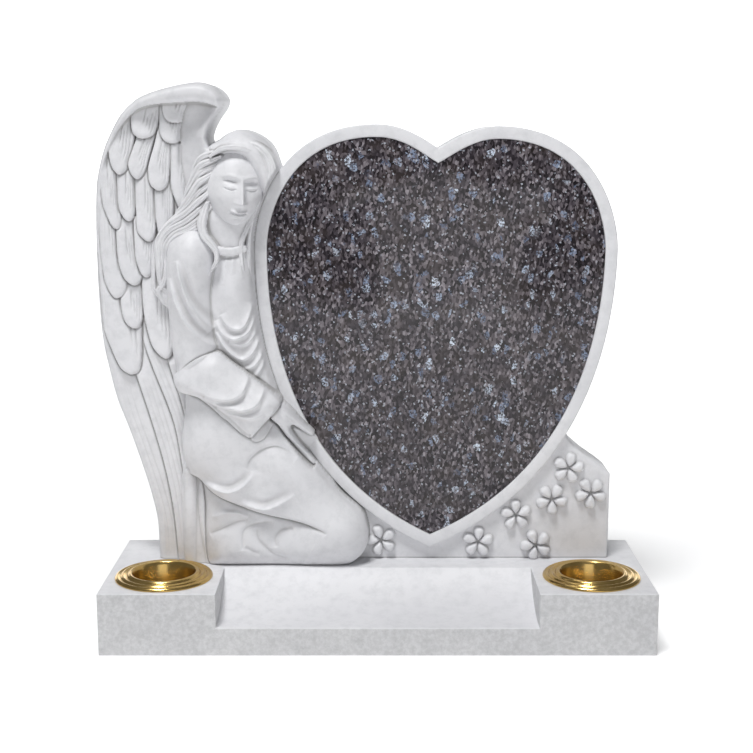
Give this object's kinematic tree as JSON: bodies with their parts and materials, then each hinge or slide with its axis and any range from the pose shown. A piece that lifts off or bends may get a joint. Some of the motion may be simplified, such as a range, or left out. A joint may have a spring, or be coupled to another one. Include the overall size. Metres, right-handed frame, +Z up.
{
  "type": "angel headstone",
  "caption": "Marble grave headstone: a carved kneeling angel with a raised wing beside a large heart with a polished granite inlay, on a base with a scooped front and gold flower pots.",
  "frame": {"origin": "middle of the base's underside, where it rests on the ground", "axes": "+Z up, -Y out of the carved front towards the viewer, +X to the viewer's right"},
  "size_m": [0.933, 0.305, 0.9253],
  "materials": {
    "white_marble": "honed cool white marble with faint grey clouding",
    "blue_pearl_granite": "polished dark grey granite with blue and silver flecks",
    "gold_metal": "polished gold anodised aluminium"
  },
  "bodies": {
    "root": {"base": "white_marble", "headstone": "white_marble", "heart_inlay": "blue_pearl_granite", "flower_pot_left": "gold_metal", "flower_pot_right": "gold_metal"}
  },
  "joints": []
}
